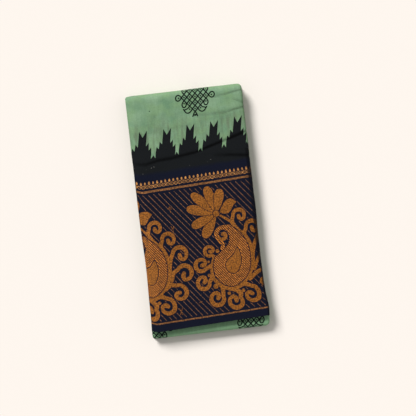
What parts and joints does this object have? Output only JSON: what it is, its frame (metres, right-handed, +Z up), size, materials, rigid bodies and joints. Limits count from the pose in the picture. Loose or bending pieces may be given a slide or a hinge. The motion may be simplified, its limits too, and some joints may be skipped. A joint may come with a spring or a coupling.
{
  "type": "folded sari",
  "caption": "Cotton sari folded into a flat packet, with a broad dark woven border of paisleys on the front and a green body.",
  "frame": {"origin": "centre of the underside, on the surface that the folded sari lies on", "axes": "+X across the folded sari towards the side where its outermost cloth rolls round, +Y along it towards the top fold, +Z up from the surface"},
  "size_m": [0.1855, 0.38, 0.0256],
  "materials": {
    "front_third": "matt navy cotton border with copper zari, green body at the top fold",
    "back_third": "matt green cotton",
    "tucked_third": "matt green cotton",
    "hidden_layers": "matt green cotton, many folded layers"
  },
  "bodies": {
    "root": {"front_third": "front_third", "back_third": "back_third", "tucked_third": "tucked_third", "hidden_layers": "hidden_layers"}
  },
  "joints": []
}
